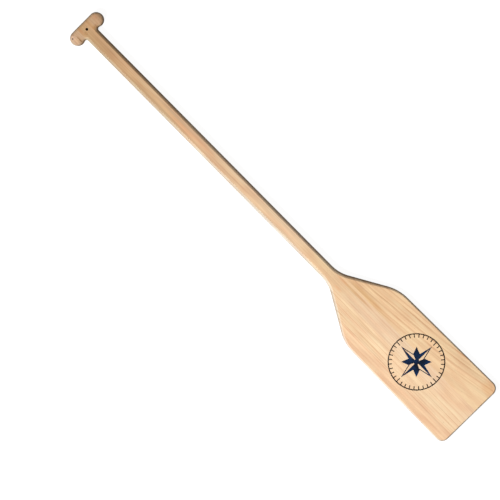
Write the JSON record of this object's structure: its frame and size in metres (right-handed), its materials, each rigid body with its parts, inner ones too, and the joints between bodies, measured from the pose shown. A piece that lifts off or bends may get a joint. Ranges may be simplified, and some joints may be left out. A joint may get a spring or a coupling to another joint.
{
  "type": "rowing oar",
  "caption": "Wooden oar with a T grip, a straight rounded shaft and a flat flared blade with a printed compass card.",
  "frame": {"origin": "middle of the oar's length and width, on the underside of the shaft and grip", "axes": "+X along the shaft from the grip to the blade's tip, +Y across the blade to the right-hand side as seen from the printed face with the grip up, +Z out of the printed face"},
  "size_m": [1.2, 0.1736, 0.028],
  "materials": {
    "pine_stave": "satin",
    "pine_cheek": "satin",
    "pine_board": "satin",
    "pine_edge_strip": "satin",
    "hardwood_dowel": "matte",
    "navy_ink": "satin"
  },
  "bodies": {
    "root": {"shaft_stave": "pine_stave", "grip_cheek_left": "pine_cheek", "grip_cheek_right": "pine_cheek", "grip_dowels": "hardwood_dowel", "blade_board_left": "pine_board", "blade_edge_strip_left": "pine_edge_strip", "blade_board_right": "pine_board", "printed_emblem": "navy_ink"}
  },
  "joints": []
}
